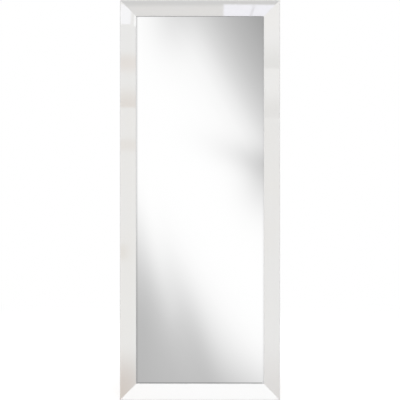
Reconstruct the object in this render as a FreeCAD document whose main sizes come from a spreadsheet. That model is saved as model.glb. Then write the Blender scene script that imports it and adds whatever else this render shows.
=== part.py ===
"""A full-length wall mirror: four mitred members of a sloping gloss-white moulding hold a silvered pane.

The row frame is in millimetres with +Z up and the mirror facing -Y. Y = 0 is the wall, which the bumpers
touch, and the origin lies on it midway between the two wall hooks that carry the mirror upright.
Each piece is drawn in a frame of its own on the back of the moulding and then turned into place.
"""

import FreeCAD, Part
import os
import Sketcher
from math import atan2, hypot

Vector = FreeCAD.Vector

# Driving dimensions in millimetres, and counts, with what each one measures.
SIZES = [
    ("frame_width", 600.0, "overall width across the two stiles"),
    ("frame_height", 1500.0, "overall height across the two rails"),
    ("rail_width", 60.0, "face of the moulding, from the outer edge to the sight edge"),
    ("rebate_width", 8.0, "lip that covers the edge of the pane"),
    ("lip_thickness", 6.0, "lip at the sight edge, in front of the pane"),
    ("face_rise", 12.0, "how far the outer edge stands in front of the sight edge"),
    ("arris_radius", 2.0, "rounding of the outer front edge"),
    ("sight_radius", 1.5, "rounding of the sight edge"),
    ("back_radius", 1.0, "rounding of the outer back edge"),
    ("glass_thickness", 4.0, "silvered float glass"),
    ("glass_clearance", 1.5, "gap between the pane and the rebate, each side"),
    ("glass_seam", 0.6, "ground chamfer round both faces of the pane"),
    ("board_thickness", 3.0, "hardboard backing"),
    ("board_clearance", 2.0, "gap between the backing and the rebate, each side"),
    ("board_setback", 5.0, "back of the moulding to the backing"),
    ("nail_leg", 7.0, "leg of a V-nail, along the rail"),
    ("nail_gauge", 0.6, "strip that a V-nail is rolled from"),
    ("nail_height", 10.0, "V-nail, driven flush into the back"),
    ("nail_clearance", 0.1, "slot round a V-nail"),
    ("point_width", 9.5, "framer's point, along the rail"),
    ("point_bite", 8.0, "framer's point driven into the rebate wall"),
    ("point_reach", 10.0, "framer's point standing out over the backing"),
    ("point_tip", 3.5, "tapered end that enters the wood"),
    ("point_corner", 1.5, "clipped corners of the standing end"),
    ("point_gauge", 0.6, "sheet that a framer's point is cut from"),
    ("point_clearance", 0.1, "slit round a framer's point"),
    ("point_margin", 130.0, "first framer's point from the end of its member"),
    ("points_per_rail", 3, "framer's points along the top or bottom rail"),
    ("points_per_stile", 6, "framer's points along a stile"),
    ("strap_gauge", 1.2, "steel strip of a hanger strap"),
    ("strap_width", 16.0, "hanger strap across"),
    ("strap_length", 38.0, "hanger strap from the ring's axis to its free end"),
    ("strap_gap", 0.2, "between the two folded leaves of a strap"),
    ("strap_bend", 0.8, "rounding where the upper leaf leaves the eye"),
    ("strap_corner", 5.0, "rounded corners of the free end"),
    ("ring_wire", 3.0, "wire of a hanger ring, diameter"),
    ("ring_clearance", 0.1, "ring wire in the strap's eye, radial"),
    ("ring_side_gap", 0.6, "strap's edge to the start of the ring's bend"),
    ("ring_bend", 3.0, "lower bends of the ring, at the wire's middle"),
    ("ring_leg", 1.5, "straight side of the ring between bend and arch"),
    ("screw_shank", 3.5, "hanger screw, diameter"),
    ("screw_length", 16.0, "hanger screw under its head"),
    ("screw_tip", 4.0, "pointed end of a hanger screw"),
    ("screw_head", 7.0, "pan head, diameter"),
    ("screw_rim", 1.0, "straight rim of the pan head"),
    ("screw_dome", 1.2, "dome of the pan head above its rim"),
    ("recess_span", 3.8, "cross recess from end to end"),
    ("recess_slot", 0.9, "cross recess, width of each slot"),
    ("recess_depth", 1.3, "cross recess, depth"),
    ("pilot_clearance", 0.05, "pilot hole round a hanger screw, radial"),
    ("strap_hole_gap", 0.3, "strap hole round a hanger screw, radial"),
    ("first_screw", 9.0, "first hanger screw from the ring's axis"),
    ("screw_pitch", 20.0, "between the two screws of a hanger"),
    ("bumper_diameter", 13.0, "rubber bumper"),
    ("bumper_height", 6.5, "rubber bumper, from the moulding to the wall"),
    ("bumper_edge", 1.5, "rounded rim of a bumper"),
    ("bumper_inset", 65.0, "bumper from the end of its stile"),
    ("hook_drop", 300.0, "top edge of the mirror down to its hooks when it hangs upright"),
    ("side_hook_drop", 150.0, "right edge of the mirror to its hooks when it hangs on its side"),
    ("cut_overrun", 5.0, "how far a cut runs past the face it leaves"),
]

# Sizes that follow from the driving ones.
FITS = [
    ("back_width", "sizes.rail_width - sizes.rebate_width"),
    ("back_middle", "fits.back_width / 2"),
    ("rebate_depth", "sizes.board_setback + sizes.board_thickness + sizes.glass_thickness"),
    ("sight_depth", "fits.rebate_depth + sizes.lip_thickness"),
    ("outer_depth", "fits.sight_depth + sizes.face_rise"),
    ("half_width", "sizes.frame_width / 2"),
    ("half_height", "sizes.frame_height / 2"),
    ("pocket_width", "sizes.frame_width - 2 * fits.back_width"),
    ("pocket_height", "sizes.frame_height - 2 * fits.back_width"),
    ("frame_back", "-sizes.bumper_height"),
    ("board_back", "fits.frame_back - sizes.board_setback"),
    ("pane_back", "fits.board_back - sizes.board_thickness"),
    ("frame_top", "sizes.hook_drop"),
    ("frame_middle", "fits.frame_top - fits.half_height"),
    ("frame_bottom", "fits.frame_top - sizes.frame_height"),
    ("pocket_bottom", "fits.frame_bottom + fits.back_width"),
    ("stile_line", "fits.half_width - fits.back_middle"),
    ("eye_inner", "sizes.ring_wire / 2 + sizes.ring_clearance"),
    ("eye_outer", "fits.eye_inner + sizes.strap_gauge"),
    ("strap_stack", "2 * sizes.strap_gauge + sizes.strap_gap"),
    ("strap_foot", "sqrt(fits.eye_outer^2 - (fits.strap_stack - fits.eye_outer)^2)"),
    ("ring_bar", "sizes.strap_width / 2 + sizes.ring_side_gap"),
    ("ring_half", "fits.ring_bar + sizes.ring_bend"),
    ("ring_shoulder", "sizes.ring_bend + sizes.ring_leg"),
    ("ring_reach", "fits.ring_shoulder + fits.ring_half - sizes.ring_wire / 2"),
    ("side_pivot", "fits.half_width - sizes.side_hook_drop - fits.ring_reach"),
    ("second_screw", "sizes.first_screw + sizes.screw_pitch"),
    ("pilot_depth", "sizes.screw_length - fits.strap_stack + sizes.pilot_clearance"),
]

# Where the two V-nails of a corner stand, as shares of the moulding's flat back from its outer edge.
NAIL_SHARES = (0.25, 0.75)
# The two screws of a hanger, from the ring's axis.
SCREW_PLACES = ("sizes.first_screw", "fits.second_screw")
# Two coordinates closer than this are the same place.
SAME_PLACE = 1e-6
RIGHT_ANGLE = 90

doc = FreeCAD.newDocument("wall_mirror")
sizes = doc.addObject("Spreadsheet::Sheet", "sizes")
fits = doc.addObject("Spreadsheet::Sheet", "fits")


def fill_sheets():
    """Writes the driving dimensions and the sizes that follow from them, each under its own alias."""
    for row, (alias, number, meaning) in enumerate(SIZES, start=1):
        sizes.set(f"A{row}", str(number))
        sizes.set(f"B{row}", meaning)
        sizes.setAlias(f"A{row}", alias)
    doc.recompute()
    for row, (alias, formula) in enumerate(FITS, start=1):
        fits.set(f"A{row}", "=" + formula.replace("fits.", ""))
        fits.setAlias(f"A{row}", alias)
    doc.recompute()


def value(expression):
    """The number that an expression gives with the sheets as they stand."""
    return float(sizes.evalExpression(expression))


def near(number, expression):
    """Whether a coordinate lies at an expression's value."""
    return abs(number - value(expression)) < SAME_PLACE


# Sketches


def origin_part(body, role):
    """One of a body's own origin planes or axes."""
    return next(feature for feature in body.Origin.OriginFeatures if feature.Role == role)


def new_sketch(body, name, role, offset="0"):
    """A sketch on one of the body's origin planes, moved along that plane's normal by an expression."""
    sketch = body.newObject("Sketcher::SketchObject", f"{body.Label}_{name}")
    sketch.AttachmentSupport = [(origin_part(body, role), "")]
    sketch.MapMode = "FlatFace"
    sketch.setExpression("AttachmentOffset.Base.z", offset)
    return sketch


def bind(sketch, kind, where, expression):
    """Adds a dimension to a sketch and ties it to an expression."""
    index = sketch.addConstraint(Sketcher.Constraint(kind, *where, value(expression)))
    sketch.setExpression(f"Constraints[{index}]", expression)


def pin(sketch, geometry, end, x, y):
    """Fixes a point of a sketch at two expressions."""
    bind(sketch, "DistanceX", (-1, 1, geometry, end), x)
    bind(sketch, "DistanceY", (-1, 1, geometry, end), y)


def arc_between(start, finish, centre, clockwise):
    """The arc from start to finish round a centre. A sketch keeps every arc anticlockwise."""
    first, last = (finish, start) if clockwise else (start, finish)
    angles = [atan2(point[1] - centre[1], point[0] - centre[0]) for point in (first, last)]
    radius = hypot(first[0] - centre[0], first[1] - centre[1])
    return Part.ArcOfCircle(Part.Circle(Vector(*centre, 0), Vector(0, 0, 1), radius), *angles)


def draw_outline(sketch, corners):
    """Draws a closed outline. A corner (x, y) is followed by a straight run, and a corner
    (x, y, centre_x, centre_y, radius, clockwise) by an arc round that centre."""
    points = [(value(corner[0]), value(corner[1])) for corner in corners]
    drawn = []
    for index, corner in enumerate(corners):
        start = points[index]
        finish = points[(index + 1) % len(points)]
        clockwise = len(corner) > 2 and corner[5]
        if len(corner) > 2:
            run = arc_between(start, finish, (value(corner[2]), value(corner[3])), clockwise)
        else:
            run = Part.LineSegment(Vector(*start, 0), Vector(*finish, 0))
        ends = (2, 1) if clockwise else (1, 2)
        drawn.append((sketch.addGeometry(run, False), *ends))
    for index, (geometry, begin, _) in enumerate(drawn):
        before, _, end = drawn[index - 1]
        sketch.addConstraint(Sketcher.Constraint("Coincident", before, end, geometry, begin))
    for corner, (geometry, begin, _) in zip(corners, drawn):
        pin(sketch, geometry, begin, corner[0], corner[1])
        if len(corner) > 2:
            bind(sketch, "Radius", (geometry,), corner[4])


def draw_box(sketch, left, right, low, high):
    """Draws a rectangle between four expressions."""
    draw_outline(sketch, [(left, low), (right, low), (right, high), (left, high)])


def draw_circle(sketch, x, y, radius):
    """Draws a circle at two expressions."""
    circle = Part.Circle(Vector(value(x), value(y), 0), Vector(0, 0, 1), value(radius))
    geometry = sketch.addGeometry(circle, False)
    pin(sketch, geometry, 3, x, y)
    bind(sketch, "Radius", (geometry,), radius)


# Features


def new_body(label):
    """A body with a label of its own, which also names its file."""
    body = doc.addObject("PartDesign::Body", label)
    body.Label = label
    return body


def pad(body, name, sketch, length, symmetric=False):
    """Pads a sketch along its normal, or to both sides of its plane."""
    feature = body.newObject("PartDesign::Pad", f"{body.Label}_{name}")
    feature.Profile = sketch
    feature.SideType = "Symmetric" if symmetric else "One side"
    feature.setExpression("Length", length)
    doc.recompute()
    return feature


def pocket(body, name, sketch, depth, along_normal=True):
    """Cuts a sketch into the body to a depth, along the sketch's normal or against it."""
    before = body.Shape.Volume
    feature = body.newObject("PartDesign::Pocket", f"{body.Label}_{name}")
    feature.Profile = sketch
    feature.Reversed = along_normal
    feature.setExpression("Length", depth)
    doc.recompute()
    if not feature.Shape.Volume < before:
        raise RuntimeError(f"{feature.Label} cuts nothing")
    return feature


def revolve(body, name, sketch):
    """Turns a half section in the XZ plane about the body's own Z axis."""
    feature = body.newObject("PartDesign::Revolution", f"{body.Label}_{name}")
    feature.Profile = sketch
    feature.ReferenceAxis = (origin_part(body, "Z_Axis"), [""])
    doc.recompute()
    return feature


def row_along(body, name, originals, axis, length, count):
    """Repeats features evenly along one of the body's axes."""
    feature = body.newObject("PartDesign::LinearPattern", f"{body.Label}_{name}")
    feature.Originals = originals
    feature.Direction = (origin_part(body, axis), [""])
    feature.setExpression("Length", length)
    feature.setExpression("Occurrences", count)
    body.Tip = feature
    doc.recompute()
    return feature


def edges_where(feature, test):
    """Names of a feature's edges for which test, given the edge's two end points, is true."""
    names = []
    for number, edge in enumerate(feature.Shape.Edges, start=1):
        ends = [vertex.Point for vertex in edge.Vertexes]
        if len(ends) == 2 and test(*ends):
            names.append(f"Edge{number}")
    return names


def dress(body, kind, name, base, edges, size):
    """Rounds or chamfers edges of the last feature of a body."""
    feature = body.newObject(f"PartDesign::{kind}", f"{body.Label}_{name}")
    feature.Base = (base, edges)
    feature.setExpression("Radius" if kind == "Fillet" else "Size", size)
    doc.recompute()
    return feature


# Places

# A piece drawn with X to the right, Y upwards and Z to the front, and one with Y upwards and Z to the wall.
FACING_FRONT = FreeCAD.Rotation(Vector(1, 0, 0), RIGHT_ANGLE)
FACING_WALL = FreeCAD.Rotation(Vector(0, 0, 1), 2 * RIGHT_ANGLE).multiply(FACING_FRONT)


def turned(rotation, quarters):
    """A rotation carried on by quarter turns about the row frame's Y axis."""
    return FreeCAD.Rotation(Vector(0, 1, 0), RIGHT_ANGLE * quarters).multiply(rotation)


def place(body, rotation, x, y, z):
    """Turns a body and ties its origin to three expressions in the row frame."""
    body.Placement = FreeCAD.Placement(Vector(), rotation)
    for axis, expression in zip("xyz", (x, y, z)):
        body.setExpression(f"Placement.Base.{axis}", expression)


# Frame members: X along the member, Y from the outer edge to the sight edge, Z from the back to the front


def draw_moulding(sketch):
    """The moulding's section, with a rebate behind the lip and a face that slopes down to the pane."""
    draw_outline(
        sketch,
        [
            ("0", "0"),
            ("fits.back_width", "0"),
            ("fits.back_width", "fits.rebate_depth"),
            ("sizes.rail_width", "fits.rebate_depth"),
            ("sizes.rail_width", "fits.sight_depth"),
            ("0", "fits.outer_depth"),
        ],
    )


def round_moulding(body, blank):
    """Rounds the three long edges that the white foil is wrapped round."""

    def runs_at(y, z):
        return lambda a, b: all(near(end.y, y) and near(end.z, z) for end in (a, b))

    for name, y, z, radius in (
        ("arris", "0", "fits.outer_depth", "sizes.arris_radius"),
        ("sight_edge", "sizes.rail_width", "fits.sight_depth", "sizes.sight_radius"),
        ("back_edge", "0", "0", "sizes.back_radius"),
    ):
        blank = dress(body, "Fillet", name, blank, edges_where(blank, runs_at(y, z)), radius)


def cut_mitres(body, length):
    """Cuts both ends of a member at 45 degrees, from the outer edge's end to the sight edge."""
    sketch = new_sketch(body, "mitre_lines", "XY_Plane")
    over = "sizes.cut_overrun"
    inside = f"sizes.rail_width + {over}"
    for sign in ("-", ""):
        tip = f"{sign}({length} / 2 + {over})"
        foot = f"{sign}({length} / 2 - sizes.rail_width - {over})"
        draw_outline(sketch, [(tip, f"-{over}"), (tip, inside), (foot, inside)])
    pocket(body, "mitres", sketch, f"fits.outer_depth + {over}")


def cut_nail_slots(body, length):
    """Cuts the slots for one leg of each V-nail, from the mitre along the member."""
    sketch = new_sketch(body, "nail_lines", "XY_Plane")
    half_slot = "(sizes.nail_gauge / 2 + sizes.nail_clearance)"
    for share in NAIL_SHARES:
        inset = f"fits.back_width * {share}"
        for sign in ("-", ""):
            mouth = f"{sign}({length} / 2 - {inset} + {half_slot})"
            end = f"{sign}({length} / 2 - {inset} - sizes.nail_leg - sizes.nail_clearance)"
            draw_box(sketch, mouth, end, f"{inset} - {half_slot}", f"{inset} + {half_slot}")
    pocket(body, "nail_slots", sketch, "sizes.nail_height + sizes.nail_clearance")


def cut_point_slits(body, length, count):
    """Cuts the slits that the framer's points are driven into, along the wall of the rebate."""
    sketch = new_sketch(body, "slit_lines", "XZ_Plane", "-fits.back_width")
    half_slit = "(sizes.point_width / 2 + sizes.point_clearance)"
    first = f"sizes.point_margin - {length} / 2"
    draw_box(
        sketch,
        f"{first} - {half_slit}",
        f"{first} + {half_slit}",
        "sizes.board_setback - sizes.point_gauge - sizes.point_clearance",
        "sizes.board_setback + sizes.point_clearance",
    )
    slit = pocket(body, "slit", sketch, "sizes.point_bite + sizes.point_clearance")
    row_along(body, "slits", [slit], "X_Axis", f"{length} - 2 * sizes.point_margin", count)


def drill_pilots(body, length, drop, near_end):
    """Drills the pilot holes of the member's hanger, whose hook is a drop away from one end."""
    sketch = new_sketch(body, "pilot_marks", "XY_Plane")
    radius = "sizes.screw_shank / 2 + sizes.pilot_clearance"
    for screw in SCREW_PLACES:
        from_middle = f"({length} / 2 - {drop} - fits.ring_reach - {screw})"
        draw_circle(sketch, near_end + from_middle, "fits.back_middle", radius)
    pocket(body, "pilots", sketch, "fits.pilot_depth")


def make_member(label, quarters, length, count, drop, near_end, origin):
    """A rail or stile: a length of moulding, mitred, slotted for its fasteners and drilled for its hanger."""
    body = new_body(label)
    section = new_sketch(body, "section", "YZ_Plane")
    draw_moulding(section)
    blank = pad(body, "blank", section, length, symmetric=True)
    round_moulding(body, blank)
    cut_mitres(body, length)
    cut_nail_slots(body, length)
    cut_point_slits(body, length, count)
    drill_pilots(body, length, drop, near_end)
    place(body, turned(FACING_FRONT, quarters), origin[0], "fits.frame_back", origin[1])
    return body


def make_points(label, quarters, length, count, origin):
    """The framer's points of one member: tabs in the rebate wall that hold the backing in."""
    body = new_body(label)
    sketch = new_sketch(body, "plan", "XY_Plane", "sizes.board_setback - sizes.point_gauge")
    middle = f"sizes.point_margin - {length} / 2"
    half = "sizes.point_width / 2"
    tip = "fits.back_width - sizes.point_bite"
    end = "fits.back_width + sizes.point_reach"
    draw_outline(
        sketch,
        [
            (middle, tip),
            (f"{middle} + {half}", f"{tip} + sizes.point_tip"),
            (f"{middle} + {half}", f"{end} - sizes.point_corner"),
            (f"{middle} + {half} - sizes.point_corner", end),
            (f"{middle} - {half} + sizes.point_corner", end),
            (f"{middle} - {half}", f"{end} - sizes.point_corner"),
            (f"{middle} - {half}", f"{tip} + sizes.point_tip"),
        ],
    )
    tab = pad(body, "tab", sketch, "sizes.point_gauge")
    row_along(body, "row", [tab], "X_Axis", f"{length} - 2 * sizes.point_margin", count)
    place(body, turned(FACING_FRONT, quarters), origin[0], "fits.frame_back", origin[1])
    return body


def make_v_nails(label, quarters, origin):
    """The two V-nails of a corner, drawn from the corner with a leg along each member."""
    body = new_body(label)
    sketch = new_sketch(body, "plan", "XY_Plane")
    half = "sizes.nail_gauge / 2"
    for share in NAIL_SHARES:
        inset = f"fits.back_width * {share}"
        heel, toe, tip = f"{inset} - {half}", f"{inset} + {half}", f"{inset} + sizes.nail_leg"
        draw_outline(sketch, [(heel, heel), (tip, heel), (tip, toe), (toe, toe), (toe, tip), (heel, tip)])
    pad(body, "strip", sketch, "sizes.nail_height")
    place(body, turned(FACING_FRONT, quarters), origin[0], "fits.frame_back", origin[1])
    return body


# Pane and backing: X across, Y upwards from the bottom rail's rebate, Z to the front


def make_pane():
    """The silvered pane, face down on the lip, with ground edges."""
    body = new_body("mirror_pane")
    sketch = new_sketch(body, "outline", "XY_Plane")
    half = "(fits.pocket_width / 2 - sizes.glass_clearance)"
    draw_box(sketch, f"-{half}", half, "0", "fits.pocket_height - 2 * sizes.glass_clearance")
    sheet = pad(body, "sheet", sketch, "sizes.glass_thickness")
    rims = []
    for face in ("0", "sizes.glass_thickness"):
        rims += edges_where(sheet, lambda a, b: near(a.z, face) and near(b.z, face))
    dress(body, "Chamfer", "seams", sheet, rims, "sizes.glass_seam")
    place(body, FACING_FRONT, "0", "fits.pane_back", "fits.pocket_bottom")
    return body


def make_backing():
    """The hardboard behind the pane."""
    body = new_body("backing_board")
    sketch = new_sketch(body, "outline", "XY_Plane")
    half = "(fits.pocket_width / 2 - sizes.board_clearance)"
    draw_box(sketch, f"-{half}", half, "0", "fits.pocket_height - 2 * sizes.board_clearance")
    pad(body, "sheet", sketch, "sizes.board_thickness")
    place(body, FACING_FRONT, "0", "fits.board_back", "fits.pocket_bottom")
    return body


# Hangers: X across the strap, Y towards the ring, Z from the back of the moulding to the wall


def draw_strap_section(sketch):
    """The strip of a strap from its edge: a leaf on the moulding, an eye for the ring and a leaf back."""
    free_end = "-sizes.strap_length"
    under = "sizes.strap_gauge + sizes.strap_gap"
    axis, outer, inner = "fits.eye_outer", "fits.eye_outer", "fits.eye_inner"
    inner_foot = f"-sqrt({inner}^2 - ({under} - {axis})^2)"
    draw_outline(
        sketch,
        [
            (free_end, "0"),
            ("0", "0", "0", axis, outer, False),
            ("-fits.strap_foot", "fits.strap_stack"),
            (free_end, "fits.strap_stack"),
            (free_end, under),
            (inner_foot, under, "0", axis, inner, True),
            ("0", "sizes.strap_gauge"),
            (free_end, "sizes.strap_gauge"),
        ],
    )


def make_strap(label, rotation, origin):
    """A hanger strap: one strip folded round the ring, with a rounded end and two screw holes."""
    body = new_body(label)
    section = new_sketch(body, "section", "YZ_Plane")
    draw_strap_section(section)
    strip = pad(body, "strip", section, "sizes.strap_width", symmetric=True)

    def at_bend(end):
        return near(end.y, "-fits.strap_foot") and near(end.z, "fits.strap_stack")

    def up_free_end(a, b):
        return abs(a.x - b.x) < SAME_PLACE and all(near(end.y, "-sizes.strap_length") for end in (a, b))

    bends = edges_where(strip, lambda a, b: at_bend(a) and at_bend(b))
    strip = dress(body, "Fillet", "bend", strip, bends, "sizes.strap_bend")
    dress(body, "Fillet", "corners", strip, edges_where(strip, up_free_end), "sizes.strap_corner")
    marks = new_sketch(body, "hole_marks", "XY_Plane")
    for screw in SCREW_PLACES:
        draw_circle(marks, "0", f"-{screw}", "sizes.screw_shank / 2 + sizes.strap_hole_gap")
    pocket(body, "holes", marks, "fits.strap_stack + sizes.cut_overrun")
    place(body, rotation, *origin)
    return body


def draw_ring_path(sketch):
    """The ring's wire from the middle of its bar: a bend, a leg, the arch, a leg and a bend."""
    bar, half, shoulder, bend = "fits.ring_bar", "fits.ring_half", "fits.ring_shoulder", "sizes.ring_bend"
    draw_outline(
        sketch,
        [
            ("0", "0"),
            (bar, "0", bar, bend, bend, False),
            (half, bend),
            (half, shoulder, "0", shoulder, half, False),
            ("0", f"{shoulder} + {half}", "0", shoulder, half, False),
            (f"-{half}", shoulder),
            (f"-{half}", bend, f"-{bar}", bend, bend, False),
            (f"-{bar}", "0"),
        ],
    )


def make_ring(label, rotation, origin):
    """A hanger ring: round wire bent to a D whose bar turns in the strap's eye."""
    body = new_body(label)
    path = new_sketch(body, "path", "XY_Plane")
    draw_ring_path(path)
    section = new_sketch(body, "section", "YZ_Plane")
    draw_circle(section, "0", "0", "sizes.ring_wire / 2")
    doc.recompute()
    wire = body.newObject("PartDesign::AdditivePipe", f"{label}_wire")
    wire.Profile = section
    wire.Spine = path
    place(body, rotation, *origin)
    return body


def draw_screw_section(sketch, crown):
    """Half of a hanger screw: a pointed shank under a pan head that seats on the strap."""
    seat, shank, head = "fits.strap_stack", "sizes.screw_shank / 2", "sizes.screw_head / 2"
    end = f"{seat} - sizes.screw_length"
    dome = f"(({head})^2 + sizes.screw_dome^2) / (2 * sizes.screw_dome)"
    draw_outline(
        sketch,
        [
            ("0", end),
            (shank, f"{end} + sizes.screw_tip"),
            (shank, seat),
            (head, seat),
            (head, f"{seat} + sizes.screw_rim", "0", f"{crown} - {dome}", dome, False),
            ("0", crown),
        ],
    )


def draw_cross(sketch):
    """The cross of a screw's recess."""
    reach, slot = "sizes.recess_span / 2", "sizes.recess_slot / 2"
    arm = [(reach, f"-{slot}"), (reach, slot), (slot, slot)]
    corners = []
    for _ in range(4):
        corners += arm
        arm = [(f"-({y})", x) for x, y in arm]
    draw_outline(sketch, corners)


def make_hanger_screws(label, rotation, origin):
    """The two pan-head screws of a hanger, drawn about the first one."""
    body = new_body(label)
    crown = "fits.strap_stack + sizes.screw_rim + sizes.screw_dome"
    section = new_sketch(body, "section", "XZ_Plane")
    draw_screw_section(section, crown)
    turning = revolve(body, "turning", section)
    lines = new_sketch(body, "cross_lines", "XY_Plane", crown)
    draw_cross(lines)
    cross = pocket(body, "cross", lines, "sizes.recess_depth", along_normal=False)
    pair = row_along(body, "pair", [turning, cross], "Y_Axis", "sizes.screw_pitch", f"{len(SCREW_PLACES)}")
    pair.Reversed = True
    place(body, rotation, *origin)
    return body


def make_hanger(side, quarters, x, z):
    """The strap, ring and screws of a hanger whose ring points upwards, or a quarter turn on from that."""
    rotation = turned(FACING_WALL, quarters)
    eye = "fits.frame_back + fits.eye_outer"
    screw_x = f"{x} - sizes.first_screw" if quarters else x
    screw_z = z if quarters else f"{z} - sizes.first_screw"
    return [
        make_strap(f"hanger_strap_{side}", rotation, (x, "fits.frame_back", z)),
        make_ring(f"hanger_ring_{side}", rotation, (x, eye, z)),
        make_hanger_screws(f"hanger_screws_{side}", rotation, (screw_x, "fits.frame_back", screw_z)),
    ]


def make_bumper(label, x, z):
    """A rubber bumper on the back of a stile, with a rounded rim towards the wall."""
    body = new_body(label)
    section = new_sketch(body, "section", "XZ_Plane")
    radius, height, edge = "sizes.bumper_diameter / 2", "sizes.bumper_height", "sizes.bumper_edge"
    rim = f"{height} - {edge}"
    draw_outline(
        section,
        [
            ("0", "0"),
            (radius, "0"),
            (radius, rim, f"{radius} - {edge}", rim, edge, False),
            (f"{radius} - {edge}", height),
            ("0", height),
        ],
    )
    revolve(body, "turning", section)
    place(body, FACING_WALL, x, "fits.frame_back", z)
    return body


# Assembly


def make_frame():
    """The four members in turn round the frame, with their framer's points and the V-nails of their corners.
    A member's own -X end is the corner in its row, and near_end is the sign of the end by its hooks."""
    rail = ("sizes.frame_width", "sizes.points_per_rail", "sizes.side_hook_drop")
    stile = ("sizes.frame_height", "sizes.points_per_stile", "sizes.hook_drop")
    left, right = "-fits.half_width", "fits.half_width"
    low, middle, high = "fits.frame_bottom", "fits.frame_middle", "fits.frame_top"
    members = [
        ("bottom_rail", "bottom", rail, "", ("0", low), "bottom_left", (left, low)),
        ("left_stile", "left", stile, "-", (left, middle), "top_left", (left, high)),
        ("top_rail", "top", rail, "-", ("0", high), "top_right", (right, high)),
        ("right_stile", "right", stile, "", (right, middle), "bottom_right", (right, low)),
    ]
    bodies = []
    for quarters, (label, side, stock, near_end, origin, corner, corner_origin) in enumerate(members):
        length, count, drop = stock
        bodies.append(make_member(label, quarters, length, count, drop, near_end, origin))
        bodies.append(make_points(f"framer_points_{side}", quarters, length, count, origin))
        bodies.append(make_v_nails(f"v_nails_{corner}", quarters, corner_origin))
    return bodies


def make_fittings():
    """The hangers and bumpers on the back of the frame."""
    upper, lower = "fits.frame_top - sizes.bumper_inset", "fits.frame_bottom + sizes.bumper_inset"
    bodies = []
    for side, x in (("left", "-fits.stile_line"), ("right", "fits.stile_line")):
        bodies += make_hanger(side, 0, x, "-fits.ring_reach")
        bodies.append(make_bumper(f"bumper_top_{side}", x, upper))
        bodies.append(make_bumper(f"bumper_bottom_{side}", x, lower))
    bodies += make_hanger("top", 1, "fits.side_pivot", "fits.frame_top - fits.back_middle")
    bodies += make_hanger("bottom", 1, "fits.side_pivot", "fits.frame_bottom + fits.back_middle")
    return bodies


def check(bodies):
    """Stops if a feature failed or a sub-part has no sound shape."""
    failed = [item.Label for item in doc.Objects if {"Invalid", "Error"} & set(item.State)]
    unsound = [body.Label for body in bodies if body.Shape.isNull() or not body.Shape.isValid()]
    if failed or unsound:
        raise RuntimeError(f"failed features {failed}, unsound sub-parts {unsound}")


def write(bodies):
    """Writes each sub-part to its own file."""
    os.makedirs("parts", exist_ok=True)
    for body in bodies:
        body.Shape.exportStep(f"parts/{body.Label}.step")
        print(f"{body.Label}: {len(body.Shape.Solids)} solids, {body.Shape.Volume:.1f} cubic millimetres")


fill_sheets()
parts = make_frame() + [make_pane(), make_backing()] + make_fittings()
doc.recompute()
check(parts)
write(parts)
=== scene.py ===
"""Looks of a tall wall mirror: gloss-white wrapped frame, silvered glass and the fittings behind."""

import math

import bmesh
import bpy
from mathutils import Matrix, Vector


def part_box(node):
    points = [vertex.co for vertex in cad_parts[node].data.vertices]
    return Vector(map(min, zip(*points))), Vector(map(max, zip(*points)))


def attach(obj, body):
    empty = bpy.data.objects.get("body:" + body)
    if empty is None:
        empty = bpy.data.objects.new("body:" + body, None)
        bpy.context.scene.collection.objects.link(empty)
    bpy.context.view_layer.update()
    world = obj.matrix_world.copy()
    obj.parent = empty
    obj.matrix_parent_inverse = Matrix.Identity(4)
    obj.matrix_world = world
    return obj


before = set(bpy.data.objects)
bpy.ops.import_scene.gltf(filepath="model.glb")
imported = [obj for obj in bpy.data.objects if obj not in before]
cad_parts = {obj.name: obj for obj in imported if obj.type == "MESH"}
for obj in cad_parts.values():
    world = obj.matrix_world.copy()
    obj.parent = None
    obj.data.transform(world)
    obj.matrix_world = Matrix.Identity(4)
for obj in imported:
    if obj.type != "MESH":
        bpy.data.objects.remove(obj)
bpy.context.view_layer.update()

MM = 0.001
SIDES = ("left", "right", "top", "bottom")
CORNERS = ("top_left", "top_right", "bottom_left", "bottom_right")
MEMBERS = ("top_rail", "bottom_rail", "left_stile", "right_stile")

# Places read from the frame, in metres
rail_low, rail_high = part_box("top_rail")
stile_low, stile_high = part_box("left_stile")
HALF_WIDTH = rail_high.x
HALF_HEIGHT = (stile_high.z - stile_low.z) / 2
MIDDLE = (stile_high.z + stile_low.z) / 2
RAIL_WIDTH = rail_high.z - rail_low.z
BACK = rail_high.y
FRONT = rail_low.y
PANE_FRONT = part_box("mirror_pane")[0].y
FLOOR = stile_low.z
SIGHT_FOOT = FLOOR + RAIL_WIDTH
SIGHT_SIDE = HALF_WIDTH - RAIL_WIDTH

# Camera: square on, a little nearer than the reach at which the frame just fills the picture
LENS = 120.0
SENSOR = 36.0
REACH = 2 * HALF_HEIGHT * LENS / SENSOR
NEARER = 5.0 * MM

# Floor: half its width, where it starts and ends running out to white, its roughness and its corners
FLOOR_HALF = 30.0
FLOOR_FADE = (1.2, 4.5)
FLOOR_ROUGH = 0.9
SQUARE = ((-1, -1), (1, -1), (1, 1), (-1, 1))

# Lamps: place, power, and the spread in degrees or the size
BROAD_PLACE = (0.0, -4.0, 4.0)
BROAD_POWER = 1.4
BROAD_SPREAD = 40
BOX_PLACE = (1.6, 3.0, 0.1)
BOX_POWER = 48.0
BOX_SIZE = 1.6

# Foil laps on the back of the members
LAP_START = 1.0 * MM
LAP_WIDTH = 11.0 * MM
LAP_THICK = 0.15 * MM
LAP_SUNK = 0.05 * MM
LAP_STEP = 12.0 * MM
LAP_WAVES = ((0.30 * MM, 83 * MM, 0.4), (0.18 * MM, 29 * MM, 1.7))

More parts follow.
